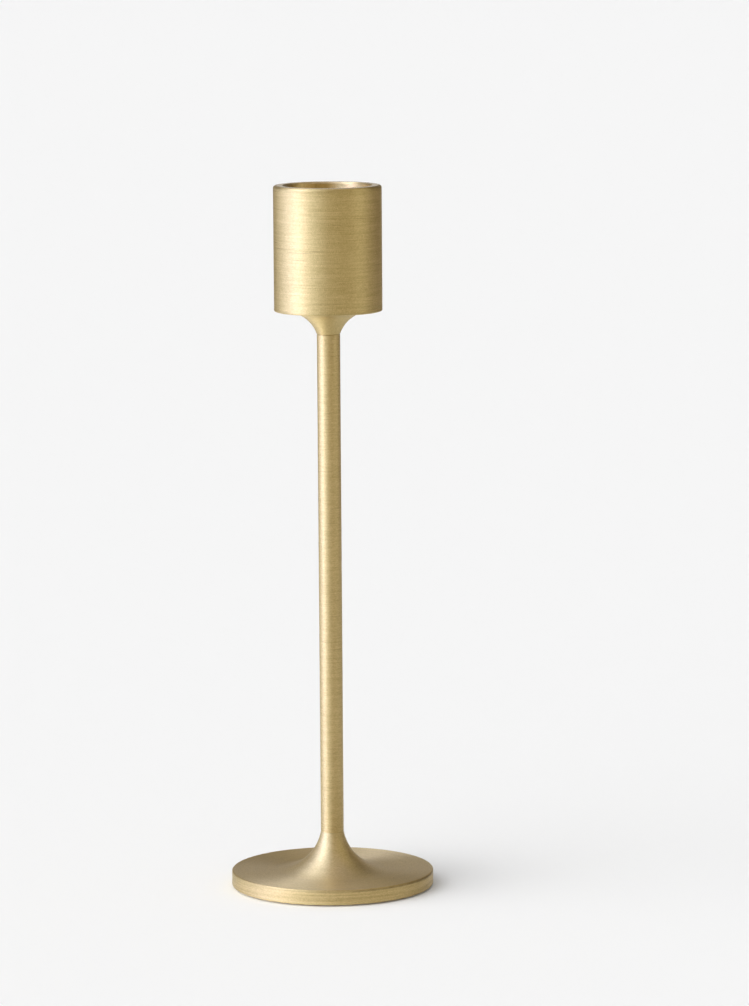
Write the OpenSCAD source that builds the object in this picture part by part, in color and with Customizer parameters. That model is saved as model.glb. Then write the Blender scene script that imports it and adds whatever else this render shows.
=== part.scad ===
// A turned brass candlestick for one taper candle. A disc base with a flared boss, a slim rod
// for a stem and a straight cup on a flared neck are screwed together end to end by two studs.
// Millimetres. +Z is up, and the origin is on the floor, under the middle of the base.

/* [Candle cup] */
// Diameter of the taper candle that the cup holds
candle_d = 22; // [18:0.1:24]
// Gap between the candle and its bore, all round
candle_gap = 0.25; // [0.1:0.05:0.6]
// Depth of the bore for the candle
candle_depth = 25; // [15:0.5:40]
// Thickness of the cup's wall
cup_wall = 2.75; // [1.5:0.05:5]
// Thickness of the metal under the bore
cup_floor = 7.5; // [5:0.1:12]
// Round on the outside of the rim
rim_round = 0.7; // [0.2:0.05:1.2]
// Chamfer at the mouth of the bore
rim_chamfer = 0.4; // [0.1:0.05:0.8]
// Round on the cup's lower edge
cup_round = 0.4; // [0.1:0.05:0.8]
// Height of the neck under the cup
neck_h = 6; // [5:0.1:10]
// Radius of the neck's hollow flare
neck_flare_r = 9; // [5:0.1:10]

/* [Stem] */
// Diameter of the stem
stem_d = 6; // [5.2:0.1:8]
// Length of the stem between its two seams
stem_len = 130.9; // [50:0.1:250]
// Chamfer on both sides of each seam
seam_chamfer = 0.12; // [0.05:0.01:0.2]

/* [Base] */
// Diameter of the base
base_d = 52.8; // [42:0.1:80]
// Thickness of the base at its rim
plate_h = 3.9; // [2.5:0.1:8]
// Round on the upper and lower edges of the base's rim
plate_round = 0.35; // [0.1:0.05:0.8]
// Height of the flared boss on the base
boss_h = 10.1; // [8:0.1:16]
// Radius of the boss's hollow flare
boss_flare_r = 12.2; // [8:0.1:16]

/* [Felt pad] */
// Thickness of the felt
pad_h = 1; // [0.6:0.1:2]
// How far the felt stands out below the metal
pad_proud = 0.4; // [0.1:0.05:0.5]
// Width of the metal lip round the felt's recess
pad_lip_w = 2.9; // [1.5:0.1:6]
// Gap between the felt and the wall of its recess, all round
pad_gap = 0.5; // [0.1:0.05:1]

/* [Joining studs] */
// Outside diameter of the studs' thread
stud_d = 4; // [3.5:0.1:4.4]
// Length of a stud, half of it in each of the pieces that it joins
stud_len = 16; // [10:0.5:18]
// Pitch of the studs' thread
thread_pitch = 0.7; // [0.5:0.05:0.8]
// Gap between the thread's crests and the wall of the hole, all round
thread_gap = 0.05; // [0.02:0.01:0.1]
// Straight depth of the hole beyond the stud's end
hole_relief = 0.8; // [0.3:0.1:1.5]
// Countersink at the mouth of each hole
hole_chamfer = 0.25; // [0.1:0.05:0.3]
// Angle of the drill's point, which the bottom of the hole keeps
drill_angle = 118; // [90:1:140]
// Width across the flats of a stud's hex socket
socket_af = 2; // [1.3:0.1:2.4]
// Depth of a stud's hex socket
socket_depth = 2.5; // [1:0.1:4]

/* [Hidden] */
stem_r = stem_d / 2;
base_r = base_d / 2;
bore_r = candle_d / 2 + candle_gap;
cup_r = bore_r + cup_wall;
cup_h = cup_floor + candle_depth;

// The recess under the base, and the felt disc glued into it
recess_r = base_r - pad_lip_w;
recess_h = pad_h - pad_proud;
pad_r = recess_r - pad_gap;

// A metric thread's proportions: the depth of its groove, and the flats at its crest and root
thread_depth = 0.6134 * thread_pitch;
crest_flat = thread_pitch / 8;
root_flat = thread_pitch / 4;
crest_r = stud_d / 2;
root_r = crest_r - thread_depth;
ring_count = floor(stud_len / thread_pitch);

// The holes that the studs screw into
hole_r = crest_r + thread_gap;
hole_depth = stud_len / 2 + hole_relief;
hole_point_h = hole_r / tan(drill_angle / 2);

// Heights of the metal's underside and of the two seams
base_z = pad_proud;
base_seam_z = base_z + plate_h + boss_h;
cup_seam_z = base_seam_z + stem_len;

// How far a cut reaches past the surface that it opens, and a flare into the piece that it joins
cut_margin = 0.5;
flare_overlap = 0.5;

brass = [0.80, 0.69, 0.45];
felt = [0.15, 0.14, 0.13];
steel = [0.70, 0.70, 0.72];
$fn = 128;

// What a round takes off an upper outer corner at the origin of the section
module round_waste(round_r) {
    translate([-round_r, -round_r]) {
        difference() {
            square(round_r + cut_margin);
            circle(round_r);
        }
    }
}

// What a 45-degree chamfer takes off an upper outer corner at the origin of the section
module chamfer_waste(size) {
    reach = size + cut_margin;
    polygon([[-reach, cut_margin], [cut_margin, cut_margin], [cut_margin, -reach]]);
}

// Half section of a turned block that stands on z = 0, with its two outer corners rounded
module block_section(radius, height, lower_round, upper_round) {
    difference() {
        square([radius, height]);
        translate([radius, 0]) mirror([0, 1]) round_waste(lower_round);
        translate([radius, height]) round_waste(upper_round);
    }
}

// Half section of a hollow flare that runs up from a flat face at z = 0 and in to the stem's radius.
// A flare taller than its own radius ends in a straight collar.
module flare_section(flare_r, height) {
    rise = min(flare_r, height);
    foot_r = stem_r + sqrt(flare_r * flare_r - (flare_r - rise) * (flare_r - rise));
    difference() {
        union() {
            difference() {
                translate([0, -flare_overlap]) square([foot_r, rise + flare_overlap]);
                translate([foot_r, flare_r]) circle(flare_r);
            }
            if (height > rise) square([stem_r, height]);
        }
        translate([stem_r, height]) chamfer_waste(seam_chamfer);
    }
}

// Half section of a hole that goes down from z = 0, with a chamfered mouth and a pointed bottom
module hole_section(radius, depth, mouth_chamfer, point_h) {
    polygon([
        [0, cut_margin],
        [radius + mouth_chamfer + cut_margin, cut_margin],
        [radius, -mouth_chamfer],
        [radius, -depth],
        [0, -depth - point_h]
    ]);
}

// Half section of a hole for half a stud, down from z = 0
module stud_hole_section() {
    hole_section(hole_r, hole_depth, hole_chamfer, hole_point_h);
}

// Outline of one ring of the thread, centred on height z
function ring_outline(z) = [
    [root_r, z - (thread_pitch - root_flat) / 2],
    [crest_r, z - crest_flat / 2],
    [crest_r, z + crest_flat / 2],
    [root_r, z + (thread_pitch - root_flat) / 2]
];

// A headless steel stud, centred on the origin, with a hex socket in its upper end.
// Rings stand for the thread's turns.
module stud() {
    first_ring_z = -(ring_count - 1) / 2 * thread_pitch;
    rings = [for (i = [0 : ring_count - 1]) each ring_outline(first_ring_z + i * thread_pitch)];
    lower_end = [[0, -stud_len / 2], [root_r, -stud_len / 2]];
    upper_end = [[root_r, stud_len / 2], [0, stud_len / 2]];
    color(steel) difference() {
        rotate_extrude() polygon(concat(lower_end, rings, upper_end));
        translate([0, 0, stud_len / 2 - socket_depth])
            cylinder(d = socket_af / cos(30), h = socket_depth + cut_margin, $fn = 6);
    }
}

// The weighty foot: a disc turned from bar, with a boss that flares up to the stem
module base() {
    color(brass) translate([0, 0, base_z]) rotate_extrude() difference() {
        union() {
            block_section(base_r, plate_h, plate_round, plate_round);
            translate([0, plate_h]) flare_section(boss_flare_r, boss_h);
        }
        translate([0, -cut_margin]) square([recess_r, recess_h + cut_margin]);
        translate([0, plate_h + boss_h]) stud_hole_section();
    }
}

// A felt disc glued into the recess under the base, which the candlestick stands on
module base_pad() {
    color(felt) cylinder(r = pad_r, h = pad_h);
}

// The stud that holds the stem on the base
module base_stud() {
    translate([0, 0, base_seam_z]) stud();
}

// A plain rod with a hole for a stud in each end
module stem() {
    color(brass) translate([0, 0, base_seam_z]) rotate_extrude() difference() {
        square([stem_r, stem_len]);
        translate([stem_r, stem_len]) chamfer_waste(seam_chamfer);
        translate([stem_r, 0]) mirror([0, 1]) chamfer_waste(seam_chamfer);
        translate([0, stem_len]) stud_hole_section();
        mirror([0, 1]) stud_hole_section();
    }
}

// The stud that holds the cup on the stem
module cup_stud() {
    translate([0, 0, cup_seam_z]) stud();
}

// The cup and its flared neck, turned in one piece and bored for the candle
module candle_cup() {
    color(brass) translate([0, 0, cup_seam_z]) rotate_extrude() difference() {
        union() {
            translate([0, neck_h]) mirror([0, 1]) flare_section(neck_flare_r, neck_h);
            translate([0, neck_h]) block_section(cup_r, cup_h, cup_round, rim_round);
        }
        translate([0, neck_h + cup_h]) hole_section(bore_r, candle_depth, rim_chamfer, 0);
        mirror([0, 1]) stud_hole_section();
    }
}

base();
base_pad();
base_stud();
stem();
cup_stud();
candle_cup();
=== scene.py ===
import math

import bpy
from mathutils import Matrix, Vector, noise


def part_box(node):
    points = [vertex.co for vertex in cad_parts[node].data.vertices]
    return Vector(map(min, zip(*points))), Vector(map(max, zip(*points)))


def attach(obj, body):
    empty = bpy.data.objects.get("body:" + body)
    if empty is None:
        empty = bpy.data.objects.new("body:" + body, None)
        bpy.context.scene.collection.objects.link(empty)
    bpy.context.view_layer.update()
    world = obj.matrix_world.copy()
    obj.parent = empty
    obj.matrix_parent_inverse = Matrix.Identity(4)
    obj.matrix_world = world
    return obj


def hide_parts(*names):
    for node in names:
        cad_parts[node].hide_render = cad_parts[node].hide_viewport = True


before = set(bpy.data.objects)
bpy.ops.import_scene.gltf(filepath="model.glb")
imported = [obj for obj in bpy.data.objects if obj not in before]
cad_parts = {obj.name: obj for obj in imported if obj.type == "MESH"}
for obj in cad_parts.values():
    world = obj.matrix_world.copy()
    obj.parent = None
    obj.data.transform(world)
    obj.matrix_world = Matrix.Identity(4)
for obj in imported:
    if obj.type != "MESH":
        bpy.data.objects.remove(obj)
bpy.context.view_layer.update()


# The camera stands well back with a long lens and looks a little down on the candlestick,
# which keeps to the left of the picture and leans a touch, as a hand-levelled camera shows it.
mm = 0.001
camera_distance = 1187 * mm
camera_height = 269.6 * mm
camera_tilt_deg = 8.079
camera_pan_deg = 0.5605
camera_roll_deg = 0.37
lens_mm = 165.2
long_side_mm = 36
camera_range = 100

camera_data = bpy.data.cameras.new("camera")
camera_data.sensor_width = long_side_mm
camera_data.lens = lens_mm
camera_data.clip_end = camera_range
camera = bpy.data.objects.new("camera", camera_data)
camera.matrix_world = (
    Matrix.Translation((0, -camera_distance, camera_height))
    @ Matrix.Rotation(-math.radians(camera_pan_deg), 4, "Z")
    @ Matrix.Rotation(math.radians(90 - camera_tilt_deg), 4, "X")
    @ Matrix.Rotation(-math.radians(camera_roll_deg), 4, "Z")
)
bpy.context.scene.collection.objects.link(camera)
bpy.context.scene.camera = camera
bpy.context.scene.view_settings.view_transform = "Standard"


# The studio is a room far off, with a large soft box on the left, a brighter strip in the soft box
# and a fill light low on the right. Metal shows the room in its warm and cool tints, the same room
# in plain white lights the floor, and the camera sees a pale backdrop in its place.
class Shade:
    """One socket of a shader tree. Sums on it add Math nodes to the tree."""

    def __init__(self, tree, socket=None):
        self.tree = tree
        self.socket = socket

    def node(self, kind, settings=None, inputs=None, output=0):
        """Adds a node with these settings and sockets' values or links, and gives one of its outputs."""
        made = self.tree.nodes.new(kind)
        for name, value in (settings or {}).items():
            setattr(made, name, value)
        for key, value in (inputs or {}).items():
            if isinstance(value, Shade):
                self.tree.links.new(value.socket, made.inputs[key])
            else:
                made.inputs[key].default_value = value
        return Shade(self.tree, made.outputs[output] if len(made.outputs) else None)

    def math(self, operation, *values):
        return self.node("ShaderNodeMath", {"operation": operation}, dict(enumerate(values)))

    def __add__(self, other):
        return self.math("ADD", self, other)

    def __sub__(self, other):
        return self.math("SUBTRACT", self, other)

    def __mul__(self, other):
        return self.math("MULTIPLY", self, other)

    def __truediv__(self, other):
        return self.math("DIVIDE", self, other)

    def __pow__(self, other):
        return self.math("POWER", self, other)

    def __rsub__(self, other):
        return self.math("SUBTRACT", other, self)

    __radd__ = __add__
    __rmul__ = __mul__

    def parts(self):
        """The x, y and z of this vector."""
        split = self.node("ShaderNodeSeparateXYZ", None, {0: self})
        return [Shade(self.tree, part) for part in split.socket.node.outputs]

    def rise(self, start, end):
        """0 below start and 1 above end, with a smooth step between."""
        settings = {"interpolation_type": "SMOOTHSTEP"}
        return self.node("ShaderNodeMapRange", settings, {0: self, 1: start, 2: end, 3: 0, 4: 1})

    def mix(self, first, second):
        """The first colour where this is 0 and the second where it is 1."""
        return self.node("ShaderNodeMix", {"data_type": "RGBA"}, {0: self, 6: first, 7: second}, 2)


def bearing(vector):
    """Degrees round the candlestick: 0 towards the camera, 90 to its right, 180 behind."""
    x, y, _ = vector.parts()
    return vector.math("DEGREES", vector.math("ARCTAN2", x, 0 - y))


front_colour = (0.74, 0.61, 0.29, 1)
back_colour = (0.24, 0.21, 0.18, 1)
front_to_back_deg = (69, 136)
overhead_colour = (0.70, 0.67, 0.86, 1)
overhead_deg = (50, 74)
soft_box_low_colour = (1.85, 2.05, 2.70, 1)
soft_box_colour = (2.75, 3.05, 3.95, 1)
soft_box_rise_deg = (5, 55)
soft_box_back_deg = (-130, -62)
soft_box_front_deg = (-58, 5)
strip_colour = (4.6, 4.25, 6.1, 1)
strip_back_deg = (-84, -72)
strip_front_deg = (-62, -50)
strip_foot_deg = (7, 13)
strip_top_deg = (30, 40)
fill_colour = (1.90, 1.82, 1.50, 1)
fill_front_deg = (48, 72)
fill_back_deg = (82, 104)
fill_top_deg = (14, 44)
white_room = (0.48, 0.48, 0.48, 1)
white_overhead = (0.74, 0.74, 0.74, 1)
white_box = (2.5, 2.5, 2.5, 1)
white_box_foot = (28.8, 28.8, 28.8, 1)
white_box_foot_deg = (2, 18)
backdrop_colour = (0.92, 0.92, 0.92, 1)

world = bpy.data.worlds.new("studio")
bpy.context.scene.world = world
world.use_nodes = True
world.node_tree.nodes.clear()
sky = Shade(world.node_tree)
towards = sky.node("ShaderNodeTexCoord")
heading = bearing(towards)
above = sky.math("DEGREES", sky.math("ARCSINE", towards.parts()[2]))
room = sky.math("ABSOLUTE", heading).rise(*front_to_back_deg).mix(front_colour, back_colour)
fill_side = heading.rise(*fill_front_deg) * (1 - heading.rise(*fill_back_deg))
fill = fill_side * (1 - above.rise(*fill_top_deg))
lit_side = heading.rise(*soft_box_back_deg) * (1 - heading.rise(*soft_box_front_deg))
soft_box = above.rise(*soft_box_rise_deg).mix(soft_box_low_colour, soft_box_colour)
strip_side = heading.rise(*strip_back_deg) * (1 - heading.rise(*strip_front_deg))
strip = strip_side * above.rise(*strip_foot_deg) * (1 - above.rise(*strip_top_deg))
walls = strip.mix(lit_side.mix(fill.mix(room, fill_colour), soft_box), strip_colour)
room_light = above.rise(*overhead_deg).mix(walls, overhead_colour)
white_side = above.rise(*white_box_foot_deg).mix(white_box_foot, white_box)
white_walls = lit_side.mix(white_room, white_side)
white_light = above.rise(*overhead_deg).mix(white_walls, white_overhead)
in_metal = sky.node("ShaderNodeLightPath", output="Is Glossy Ray")
in_view = sky.node("ShaderNodeLightPath", output="Is Camera Ray")
shown = in_view.mix(in_metal.mix(white_light, room_light), backdrop_colour)
studio = sky.node("ShaderNodeBackground", None, {"Color": shown, "Strength": 1})
sky.node("ShaderNodeOutputWorld", None, {"Surface": studio})


# The floor is a wide board, painted a matt pale grey.
# It lies level under the felt and takes the candlestick's shadow.
floor_half = 15
floor_colour = (0.91, 0.91, 0.91, 1)
floor_mesh = bpy.data.meshes.new("floor")
floor_corners = [(-floor_half, -floor_half, 0), (floor_half, -floor_half, 0),
                 (floor_half, floor_half, 0), (-floor_half, floor_half, 0)]
floor_mesh.from_pydata(floor_corners, [], [(0, 1, 2, 3)])
floor = bpy.data.objects.new("floor", floor_mesh)
bpy.context.scene.collection.objects.link(floor)
floor_paint = bpy.data.materials.new("pale_floor")
floor_paint.use_nodes = True
floor_paint.node_tree.nodes.clear()
paint = Shade(floor_paint.node_tree)
matt = paint.node("ShaderNodeBsdfDiffuse", None, {"Color": floor_colour})
paint.node("ShaderNodeOutputMaterial", None, {"Surface": matt})
floor_mesh.materials.append(floor_paint)


# Low cards stand in a ring round the set, out of the camera's sight. A lit one on the left brings
# the soft box down to the floor, and dark ones keep the floor out of the rest of the metal.
card_ring_r = 550 * mm
card_h = 250 * mm
card_count = 120
lit_card_colour = (2.72, 2.9, 5.35, 1)
lit_card_rim_colour = (2.4, 2.5, 1.9, 1)
dark_card_colour = (0.33, 0.24, 0.115, 1)
back_card_colour = (0.52, 0.46, 0.41, 1)
back_card_top_colour = (0.71, 0.67, 0.62, 1)
back_card_top_z = (130 * mm, 190 * mm)
lit_card_back_deg = (-168, -67)
lit_card_front_deg = (-80, -38)
back_card_left_deg = (-176, -150)
back_card_right_deg = (146, 168)


def spokes(count):
    """Cosine and sine of evenly spaced angles round the axis."""
    angles = [2 * math.pi * j / count for j in range(count)]
    return [(math.cos(a), math.sin(a)) for a in angles]


card_mesh = bpy.data.meshes.new("cards")
card_points = [(card_ring_r * c, card_ring_r * s, z) for z in (0, card_h) for c, s in spokes(card_count)]
card_faces = []
for j in range(card_count):
    k = (j + 1) % card_count
    card_faces.append((j, k, card_count + k, card_count + j))
card_mesh.from_pydata(card_points, [], card_faces)
cards = bpy.data.objects.new("cards", card_mesh)
bpy.context.scene.collection.objects.link(cards)
cards.visible_camera = False
cards.visible_diffuse = False
cards.visible_shadow = False
card_paint = bpy.data.materials.new("studio_cards")
card_paint.use_nodes = True
card_paint.node_tree.nodes.clear()
paint = Shade(card_paint.node_tree)
around = paint.node("ShaderNodeTexCoord", output="Object")
heading = bearing(around)
behind = 1 - heading.rise(*back_card_left_deg) + heading.rise(*back_card_right_deg)
lit_card_back = heading.rise(*lit_card_back_deg)
lit_card = lit_card_back * (1 - heading.rise(*lit_card_front_deg))
back_card = around.parts()[2].rise(*back_card_top_z).mix(back_card_colour, back_card_top_colour)
lit_paint = lit_card_back.mix(lit_card_rim_colour, lit_card_colour)
card_light = lit_card.mix(behind.mix(dark_card_colour, back_card), lit_paint)
# A ray that has left the floor finds the cards dark, so that the metal throws no glints of them there.
off_floor = paint.math("MINIMUM", paint.node("ShaderNodeLightPath", output="Diffuse Depth"), 1)
card_glow = paint.node("ShaderNodeEmission", None, {"Color": card_light, "Strength": 1 - off_floor})
paint.node("ShaderNodeOutputMaterial", None, {"Surface": card_glow})
card_mesh.materials.append(card_paint)


# The base is a heavy brass disc turned from bar, with a boss that flares up to meet the stem.
# A shallow recess underneath takes the felt, and the boss is drilled and tapped for a stud.
facets = 192


def straight(*points):
    """Straight stretches of a half section through these (radius, height) points."""
    for (r0, z0), (r1, z1) in zip(points, points[1:]):
        length = math.hypot(r1 - r0, z1 - z0)
        normal = ((z1 - z0) / length, (r0 - r1) / length)
        yield [(r0, z0, *normal), (r1, z1, *normal)]


def curve(centre, radius, start_deg, end_deg, steps):
    """A round stretch of a half section: one that runs clockwise is hollow."""
    outward = 1 if end_deg > start_deg else -1
    stretch = []
    for i in range(steps + 1):
        angle = math.radians(start_deg + (end_deg - start_deg) * i / steps)
        c, s = math.cos(angle), math.sin(angle)
        stretch.append((centre[0] + radius * c, centre[1] + radius * s, outward * c, outward * s))
    yield stretch


def skin(name, rows):
    """A closed mesh through rows of points: each row is a ring, or one point on the axis."""
    points, faces, starts = [], [], []
    for row in rows:
        starts.append((len(points), len(row)))
        points.extend(row)
    for (low, low_count), (high, high_count) in zip(starts, starts[1:]):
        count = max(low_count, high_count)
        for j in range(count):
            k = (j + 1) % count
            low_edge = (low + j % low_count, low + k % low_count)
            high_edge = (high + k % high_count, high + j % high_count)
            faces.append(tuple(dict.fromkeys(low_edge + high_edge)))
    mesh = bpy.data.meshes.new(name)
    mesh.from_pydata(points, [], faces)
    mesh.polygons.foreach_set("use_smooth", [True] * len(faces))
    piece = bpy.data.objects.new(name, mesh)
    bpy.context.scene.collection.objects.link(piece)
    return piece


def turn(name, *cuts):
    """A piece turned on the lathe. A cut is some stretches of its half section, and their finish."""
    stretches = [stretch for cut, _ in cuts for stretch in cut]
    finishes = [finish for cut, finish in cuts for _ in cut]
    ring = spokes(facets)
    section = stretches[0][:1] + [point for stretch in stretches for point in stretch[1:]]
    rows = []
    for r, z, _, _ in section:
        rows.append([(r * c, r * s, z) for c, s in ring] if r > 0 else [(0, 0, z)])
    piece = skin(name, rows)
    normals, indices = [], []
    palette = list(dict.fromkeys(finishes))
    for stretch, finish in zip(stretches, finishes):
        for (r0, _, nr0, nz0), (r1, _, nr1, nz1) in zip(stretch, stretch[1:]):
            for j in range(facets):
                (c0, s0), (c1, s1) = ring[j], ring[(j + 1) % facets]
                low = [(nr0 * c0, nr0 * s0, nz0), (nr0 * c1, nr0 * s1, nz0)]
                high = [(nr1 * c1, nr1 * s1, nz1), (nr1 * c0, nr1 * s0, nz1)]
                normals += (low if r0 > 0 else low[:1]) + (high if r1 > 0 else high[:1])
                indices.append(palette.index(finish))
    for finish in palette:
        piece.data.materials.append(finish)
    piece.data.polygons.foreach_set("material_index", indices)
    piece.data.normals_split_custom_set(normals)
    return piece


# Pits and scratches are darkened with this brown, and so is the painted shade along edges.
grime_and_shade_colour = (0.16, 0.105, 0.04, 1)
hairline_w = 0.22 * mm
grain_l, grain_w = 0.5 * mm, 0.21 * mm
band_l, band_w = 25 * mm, 1.5 * mm
grain_strength, band_strength = 0.85, 0.4
tone_step = 0.1
scratch_stretch, scratch_w = 1.5, 0.24 * mm
pit_size, pit_patch = 0.35 * mm, 5 * mm
# A mark starts to show at the first of these values of its noise, and shows in full at the second.
scratch_noise = (0.65, 0.78)
pit_noise = (0.70, 0.78)
pit_patch_noise = (0.56, 0.66)
scratch_grime, pit_grime = 0.3, 0.4
# The dark lines along edges, mostly painted shade, come in patches of this size, and are at full
# strength within this share of their reach.
edge_patch_size = 1.5 * mm
edge_line_core = 0.2
band_dulling, hairline_dulling, grime_and_shade_dulling = 0.3, 0.12, 0.2
brush_depth = 0.003 * mm
quarter_turn = 0.25
# Rings are numbered up the axis and outwards, in steps that keep each one's noise apart from the next.
ring_start = 0.37
up_step, out_step = 3.7, 5.3
eye_gamma = 2.2


def tinted(colour, step):
    """This colour for a socket, lighter or darker by an even step to the eye."""
    return (*((channel ** (1 / eye_gamma) + step) ** eye_gamma for channel in colour), 1)


def brass(name, metal_colour, roughness, along, streak_l, brushing, edges=()):
    """Turned brass, brushed in rings round the axis, with dark pits and scratches, and dark lines along
    its edges that are mostly painted shade. An edge is given as its radius and height, the line's reach
    and
    strength, and its side: 1 is heavier on the right, -1 on the left and 0 even."""
    material = bpy.data.materials.new(name)
    material.use_nodes = True
    material.node_tree.nodes.clear()
    metal = Shade(material.node_tree)
    place = metal.node("ShaderNodeTexCoord", output="Object")
    x, y, z = place.parts()
    radius = (x * x + y * y) ** 0.5

    def rings(length, width):
        """Streaks of this length in separate rings, each as wide as one turn of the tool."""
        up = metal.math("FLOOR", z / width + ring_start)
        out = metal.math("FLOOR", radius / width + ring_start)
        ring = up * up_step + out * out_step
        drawn = metal.node("ShaderNodeCombineXYZ", None, {0: x / length, 1: y / length, 2: ring})
        return metal.node("ShaderNodeTexNoise", None, {"Vector": drawn, "Scale": 1, "Detail": 1})

    def spots(size):
        """Round spots of this size."""
        return metal.node("ShaderNodeTexNoise", None, {"Vector": place, "Scale": 1 / size, "Detail": 1})

    drawn = metal.node("ShaderNodeCombineXYZ", None, {0: x / band_l, 1: y / band_l, 2: z / band_w})
    bands = metal.node("ShaderNodeTexNoise", {"noise_dimensions": "4D"}, {
        "Vector": drawn, "W": radius / band_w, "Scale": 1, "Detail": 2})
    hairlines = rings(streak_l, hairline_w)
    grain = rings(grain_l, grain_w)
    scratches = rings(scratch_stretch * streak_l, scratch_w).rise(*scratch_noise)
    pits = spots(pit_size).rise(*pit_noise) * spots(pit_patch).rise(*pit_patch_noise)
    lines = (hairlines - 0.5) * brushing + (grain - 0.5) * grain_strength
    tone = lines + (bands - 0.5) * band_strength + 0.5
    brushed = tone.mix(tinted(metal_colour, -tone_step), tinted(metal_colour, tone_step))
    grime_and_shade = pits * pit_grime + scratches * scratch_grime * brushing
    # Each edge adds a patchy dark line, mostly painted shade; where a side is given, the side in shade
    # gets more.
    for edge_r, edge_z, reach, strength, side in edges:
        away = ((radius - edge_r) ** 2 + (z - edge_z) ** 2) ** 0.5
        patchy = (spots(edge_patch_size) + 0.5) * (1 + x / edge_r * side)
        grime_and_shade = grime_and_shade + (1 - away.rise(edge_line_core * reach, reach)) * patchy * strength
    colour = metal.math("MINIMUM", grime_and_shade, 1).mix(brushed, grime_and_shade_colour)
    uneven = (bands - 0.5) * band_dulling + (hairlines - 0.5) * hairline_dulling
    dullness = roughness * (1 + uneven + grime_and_shade * grime_and_shade_dulling)
    brush_marks = metal.node("ShaderNodeBump", None, {
        "Strength": 1, "Distance": brush_depth, "Height": hairlines - grime_and_shade})
    surface = metal.node("ShaderNodeBsdfPrincipled", None, {
        "Base Color": colour, "Metallic": 1, "Roughness": dullness, "Normal": brush_marks,
        "Anisotropic": along, "Anisotropic Rotation": quarter_turn})
    metal.node("ShaderNodeOutputMaterial", None, {"Surface": surface})
    return material


base_low, base_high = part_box("base")
base_r = base_high.x
base_z = base_low.z
base_seam_z = base_high.z
stem_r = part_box("stem")[1].x
plate_h = 3.9 * mm
plate_round = 0.35 * mm
boss_flare_r = 12.2 * mm
recess_r = 23.5 * mm
recess_h = 0.6 * mm
seam_chamfer = 0.12 * mm
hole_r = 2.05 * mm
hole_depth = 8.8 * mm
hole_chamfer = 0.25 * mm
drill_point_deg = 118
drill_point_h = hole_r / math.tan(math.radians(drill_point_deg / 2))
edge_steps = 8
flare_steps = 40
base_colour = (0.588, 0.487, 0.271)
edge_colour = (0.57, 0.452, 0.222)
brushed_roughness, brushed_along = 0.5, 0.8
drilled_roughness, drilled_along = 0.32, 0.5
long_streak_l, short_streak_l = 7 * mm, 2 * mm


def hole_up(z):
    """Half section of a tapped hole that opens downwards at height z, from its drill point out."""
    return [(0, z + hole_depth + drill_point_h), (hole_r, z + hole_depth),
            (hole_r, z + hole_chamfer), (hole_r + hole_chamfer, z)]


def hole_down(z):
    """Half section of a tapped hole that opens upwards at height z, from its mouth in."""
    return [(hole_r + hole_chamfer, z), (hole_r, z - hole_chamfer),
            (hole_r, z - hole_depth), (0, z - hole_depth - drill_point_h)]


plate_z = base_z + plate_h
flare_rise = base_seam_z - plate_z
flare_foot_r = stem_r + math.sqrt(boss_flare_r ** 2 - (boss_flare_r - flare_rise) ** 2)
flare_centre = (flare_foot_r, plate_z + boss_flare_r)
flare_end_deg = -180 + math.degrees(math.asin((boss_flare_r - flare_rise + seam_chamfer) / boss_flare_r))
flare_end_r = flare_foot_r + boss_flare_r * math.cos(math.radians(flare_end_deg))
base_edge = [
    *straight((0, base_z + recess_h), (recess_r, base_z + recess_h), (recess_r, base_z),
              (base_r - plate_round, base_z)),
    *curve((base_r - plate_round, base_z + plate_round), plate_round, -90, 0, edge_steps),
    *straight((base_r, base_z + plate_round), (base_r, plate_z - plate_round)),
    *curve((base_r - plate_round, plate_z - plate_round), plate_round, 0, 90, edge_steps),
]
base_top = [
    *straight((base_r - plate_round, plate_z), (flare_foot_r, plate_z)),
    *curve(flare_centre, boss_flare_r, -90, flare_end_deg, flare_steps),
    *straight((flare_end_r, base_seam_z - seam_chamfer), (stem_r - seam_chamfer, base_seam_z),
              (hole_r + hole_chamfer, base_seam_z)),
]
base_hole = [*straight(*hole_down(base_seam_z))]
# The base's top edge gets a dark line of grime with painted shade, heavier on the right, the side away
# from the soft box.
edge_brass = brass("base_edge_brass", edge_colour, brushed_roughness, brushed_along, 3 * long_streak_l,
                   brushing=1.15, edges=[(base_r, plate_z - plate_round, 0.4 * mm, 0.3, 1)])
top_brass = brass("base_top_brass", base_colour, brushed_roughness, brushed_along, short_streak_l,
                  brushing=0.3)
drilled_brass = brass("drilled_brass", base_colour, drilled_roughness, drilled_along, short_streak_l,
                      brushing=1.0)
base = turn("turned_base", (base_edge, edge_brass), (base_top, top_brass), (base_hole, drilled_brass))
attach(base, "base")
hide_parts("base")


# The pad is a disc punched out of dense wool felt and glued into the recess under the base.
# It stands a little below the metal, so that the candlestick rests on felt alone.
pad_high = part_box("base_pad")[1]
pad_r = pad_high.x
pad_h = pad_high.z
pad_rim_round = 0.35 * mm
pad_wave_h = 0.06 * mm
pad_wave_l = 5 * mm
pad_ring_count = 28
pad_rim_steps = 6
felt_colour = (0.026, 0.024, 0.021, 1)
felt_pale_colour = (0.085, 0.079, 0.070, 1)
fibre_w = 0.3 * mm
felt_patch = 2.5 * mm
felt_depth = 0.15 * mm
fibre_tone, patch_tone, tone_drop = 1.4, 0.6, 0.6
fibre_height, patch_height = 0.6, 0.4
felt_roughness, fibre_roughness = 0.9, 0.1


def felt_ring(r, z, wave):
    """A ring of the pad, lifted here and there by up to wave."""
    ring = []
    for c, s in spokes(facets):
        lift = 0.5 + 0.5 * noise.noise(Vector((r * c, r * s, 0)) / pad_wave_l)
        ring.append((r * c, r * s, z + wave * lift))
    return ring


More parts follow.
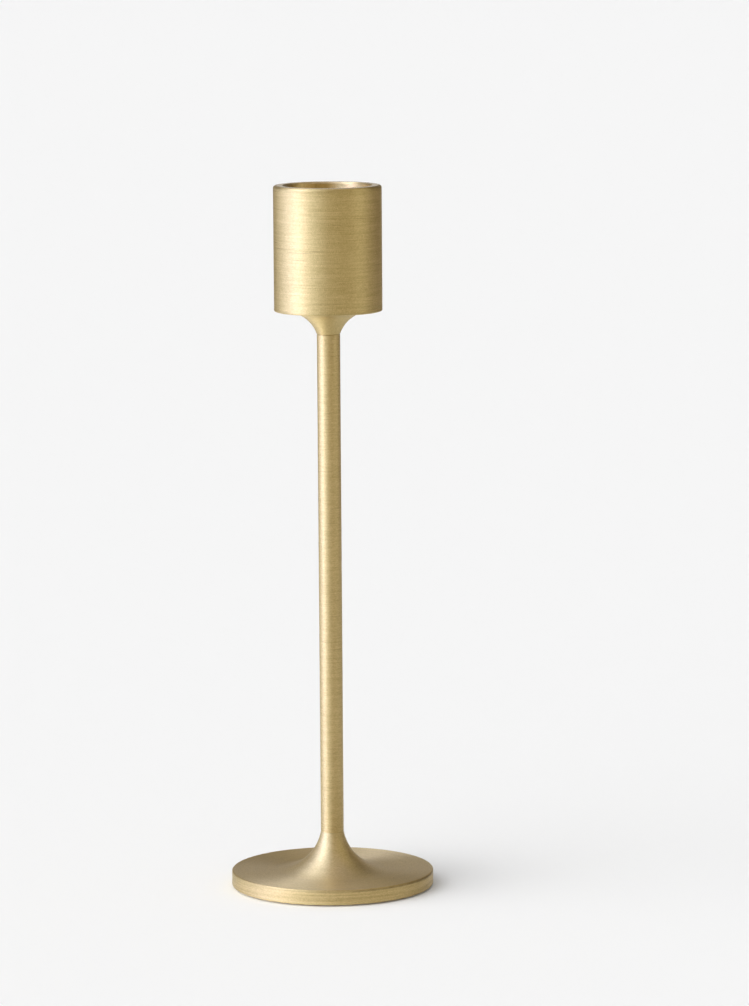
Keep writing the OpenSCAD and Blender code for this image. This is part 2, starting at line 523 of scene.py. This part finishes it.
pad_flat_r = pad_r - pad_rim_round
pad_rows = [[(0, 0, 0)]]
for i in range(1, pad_ring_count + 1):
    pad_rows.append(felt_ring(pad_flat_r * i / pad_ring_count, 0, pad_wave_h))
# The lower round goes on from the last ring of the flat, so its own first ring is left out.
for round_z, start_deg, first in ((pad_rim_round, -90, 1), (pad_h - pad_rim_round, 0, 0)):
    for i in range(first, pad_rim_steps + 1):
        angle = math.radians(start_deg + 90 * i / pad_rim_steps)
        fade = pad_wave_h * max(0, -math.sin(angle))
        pad_rows.append(felt_ring(pad_flat_r + pad_rim_round * math.cos(angle),
                                  round_z + pad_rim_round * math.sin(angle), fade))
pad_rows.append([(0, 0, pad_h)])
pad = skin("felt_pad", pad_rows)

felt = bpy.data.materials.new("wool_felt")
felt.use_nodes = True
felt.node_tree.nodes.clear()
wool = Shade(felt.node_tree)
place = wool.node("ShaderNodeTexCoord", output="Object")
fibres = wool.node("ShaderNodeTexNoise", None, {
    "Vector": place, "Scale": 1 / fibre_w, "Detail": 3, "Roughness": 0.7, "Distortion": 2.5})
patches = wool.node("ShaderNodeTexNoise", None, {"Vector": place, "Scale": 1 / felt_patch, "Detail": 2})
wool_colour = (fibres * fibre_tone + patches * patch_tone - tone_drop).mix(felt_colour, felt_pale_colour)
nap = wool.node("ShaderNodeBump", None, {
    "Strength": 1, "Distance": felt_depth, "Height": fibres * fibre_height + patches * patch_height})
wool_surface = wool.node("ShaderNodeBsdfPrincipled", None, {
    "Base Color": wool_colour, "Roughness": felt_roughness + fibres * fibre_roughness, "Normal": nap,
    "Specular IOR Level": 0.2, "Sheen Weight": 0.25, "Sheen Roughness": 0.5})
wool.node("ShaderNodeOutputMaterial", None, {"Surface": wool_surface})
pad.data.materials.append(felt)
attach(pad, "base")
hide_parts("base_pad")


# The lower stud is a headless steel screw with a hex socket in its top end, an M4 set screw.
# It is half in the base's boss and half in the stem, and draws the two together.
thread_pitch = 0.7 * mm
thread_depth = 0.6134 * thread_pitch
stud_end_r = 1.45 * mm
socket_af = 2 * mm
socket_depth = 2.5 * mm
socket_chamfer = 0.12 * mm
cup_point_h = 0.4 * mm
socket_flat_deg = 60
crest_flatness = 0.4
stud_facets = 48
rows_per_pitch = 12
crease_deg = 50
steel_colour = (0.61, 0.60, 0.57, 1)
steel_dark_colour = (0.16, 0.15, 0.14, 1)
steel_grain_l, steel_grain_w = 2.5 * mm, 0.08 * mm
oil_depth = 0.3
oil_darkening, grain_darkening = 0.6, 0.5
steel_roughness, grain_roughness = 0.28, 0.2


def steel(name, crest_r):
    """Bright steel with a rolled thread, and oil left in the bottom of the thread."""
    material = bpy.data.materials.new(name)
    material.use_nodes = True
    material.node_tree.nodes.clear()
    metal = Shade(material.node_tree)
    x, y, z = metal.node("ShaderNodeTexCoord", output="Object").parts()
    radius = (x * x + y * y) ** 0.5
    drawn = metal.node("ShaderNodeCombineXYZ", None,
                       {0: x / steel_grain_l, 1: y / steel_grain_l, 2: z / steel_grain_w})
    grain = metal.node("ShaderNodeTexNoise", None, {"Vector": drawn, "Scale": 1, "Detail": 2})
    oil = 1 - radius.rise(crest_r - thread_depth, crest_r - oil_depth * thread_depth)
    stain = oil * oil_darkening + (grain - 0.5) * grain_darkening
    surface = metal.node("ShaderNodeBsdfPrincipled", None, {
        "Base Color": stain.mix(steel_colour, steel_dark_colour), "Metallic": 1,
        "Roughness": steel_roughness + grain * grain_roughness})
    metal.node("ShaderNodeOutputMaterial", None, {"Surface": surface})
    return material


def stud(name, node):
    """A stud in the place of this node, with its thread as one helix."""
    low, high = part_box(node)
    crest_r = high.x
    root_r = crest_r - thread_depth
    ring = spokes(stud_facets)
    rows = [[(0, 0, low.z + cup_point_h)]]
    row_count = round((high.z - low.z) / thread_pitch * rows_per_pitch)
    for i in range(row_count + 1):
        z = low.z + (high.z - low.z) * i / row_count
        end_r = stud_end_r + min(z - low.z, high.z - z)
        row = []
        for j, (c, s) in enumerate(ring):
            phase = math.cos(2 * math.pi * (z / thread_pitch - j / stud_facets))
            tooth = 0.5 + 0.5 * phase * (1 + crest_flatness - crest_flatness * phase * phase)
            r = min(root_r + thread_depth * tooth, end_r)
            row.append((r * c, r * s, z))
        rows.append(row)
    for grow, drop in ((socket_chamfer, 0), (0, socket_chamfer), (0, socket_depth)):
        row = []
        for j, (c, s) in enumerate(ring):
            from_flat = (360 * j / stud_facets) % socket_flat_deg - socket_flat_deg / 2
            r = (socket_af / 2 + grow) / math.cos(math.radians(from_flat))
            row.append((r * c, r * s, high.z - drop))
        rows.append(row)
    rows.append([(0, 0, high.z - socket_depth - cup_point_h)])
    piece = skin(name, rows)
    piece.data.set_sharp_from_angle(angle=math.radians(crease_deg))
    piece.data.materials.append(steel(name + "_steel", crest_r))
    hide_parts(node)
    return piece


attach(stud("stem_base_stud", "base_stud"), "base_stud")


# The stem is a plain length of brass rod, faced and chamfered at both ends and tapped for a stud
# in each. It screws down on the base's boss and leaves a fine seam there.
stem_foot_z, stem_top_z = (corner.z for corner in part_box("stem"))
stem_lower_hole = [*straight(*hole_up(stem_foot_z))]
stem_outside = [
    *straight((hole_r + hole_chamfer, stem_foot_z), (stem_r - seam_chamfer, stem_foot_z),
              (stem_r, stem_foot_z + seam_chamfer), (stem_r, stem_top_z - seam_chamfer),
              (stem_r - seam_chamfer, stem_top_z), (hole_r + hole_chamfer, stem_top_z)),
]
stem_upper_hole = [*straight(*hole_down(stem_top_z))]
stem_colour = (0.575, 0.46, 0.229)
stem_brass = brass("stem_brass", stem_colour, brushed_roughness, brushed_along, 2 * short_streak_l,
                   brushing=0.6)
stem = turn("stem_rod", (stem_lower_hole, drilled_brass), (stem_outside, stem_brass),
            (stem_upper_hole, drilled_brass))
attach(stem, "stem")
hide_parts("stem")


# The upper stud is the same set screw as the lower one.
# It is half in the top of the stem and half in the cup's neck.
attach(stud("stem_cup_stud", "cup_stud"), "cup_stud")


# The cup and its flared neck are turned from one bar of brass, the neck to a finer finish. The bore
# for the candle, with the chamfer at its mouth, is cut with a boring bar, which leaves it smoother
# than the brushed outside. The neck is tapped, and screws down on the stem.
cup_low, cup_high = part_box("candle_cup")
cup_r = cup_high.x
cup_z, rim_z = cup_low.z, cup_high.z
bore_r = 11.25 * mm
bore_depth = 25 * mm
rim_round = 0.7 * mm
rim_chamfer = 0.4 * mm
cup_round = 0.4 * mm
neck_h = 6 * mm
neck_flare_r = 9 * mm
rim_roughness, rim_along = 0.17, 0.0
bored_roughness, bored_along = 0.36, 0.94

cup_underside_z = cup_z + neck_h
neck_foot_r = stem_r + math.sqrt(neck_flare_r ** 2 - (neck_flare_r - neck_h) ** 2)
neck_start_deg = 180 - math.degrees(math.asin((neck_flare_r - neck_h + seam_chamfer) / neck_flare_r))
neck_start_r = neck_foot_r + neck_flare_r * math.cos(math.radians(neck_start_deg))
neck_hole = [*straight(*hole_up(cup_z))]
neck = [
    *straight((hole_r + hole_chamfer, cup_z), (stem_r - seam_chamfer, cup_z),
              (neck_start_r, cup_z + seam_chamfer)),
    *curve((neck_foot_r, cup_underside_z - neck_flare_r), neck_flare_r, neck_start_deg, 90, flare_steps),
]
cup_outside = [
    *straight((neck_foot_r, cup_underside_z), (cup_r - cup_round, cup_underside_z)),
    *curve((cup_r - cup_round, cup_underside_z + cup_round), cup_round, -90, 0, edge_steps),
    *straight((cup_r, cup_underside_z + cup_round), (cup_r, rim_z - rim_round)),
    *curve((cup_r - rim_round, rim_z - rim_round), rim_round, 0, 90, edge_steps),
]
rim = [*straight((cup_r - rim_round, rim_z), (bore_r + rim_chamfer, rim_z))]
bore = [
    *straight((bore_r + rim_chamfer, rim_z), (bore_r, rim_z - rim_chamfer), (bore_r, rim_z - bore_depth),
              (0, rim_z - bore_depth)),
]
cup_colour = (0.555, 0.447, 0.216)
neck_colour = (0.55, 0.434, 0.199)
# The bore's colour is much paler than the outside's, as painted light that makes the streak inside the
# bore brighter.
bore_colour_painted_lighter = (0.88, 0.712, 0.398)
# Painted shade darkens the neck just under the cup, and draws a dark line along the cup's lower round
# edge. A thin band just under the rim's outer round is darkened too.
neck_brass = brass("neck_brass", neck_colour, brushed_roughness, brushed_along, short_streak_l,
                   brushing=0.35, edges=[(neck_foot_r, cup_underside_z, 6 * mm, 0.24, 0)])
cup_brass = brass("cup_brass", cup_colour, brushed_roughness, brushed_along, 1.2 * long_streak_l,
                  brushing=1.1, edges=[(cup_r, cup_underside_z + cup_round, 0.4 * mm, 0.1, 0),
                                       (cup_r, rim_z - rim_round, 0.9 * mm, 0.12, 0)])
rim_brass = brass("rim_brass", cup_colour, rim_roughness, rim_along, long_streak_l, brushing=0.8)
# Painted shade darkens the bore in its bottom corner, and on the left of its wall below the mouth.
bore_brass_painted_light_and_shade = brass("bore_brass_painted_light_and_shade", bore_colour_painted_lighter, bored_roughness, bored_along, long_streak_l,
                    brushing=0.4, edges=[(bore_r, rim_z - bore_depth, 1.5 * mm, 0.4, 0),
                                         (bore_r, rim_z - rim_chamfer, 6 * mm, 0.3, -1)])
cup = turn("turned_cup", (neck_hole, drilled_brass), (neck, neck_brass), (cup_outside, cup_brass),
           (rim, rim_brass), (bore, bore_brass_painted_light_and_shade))
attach(cup, "cup")
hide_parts("candle_cup")
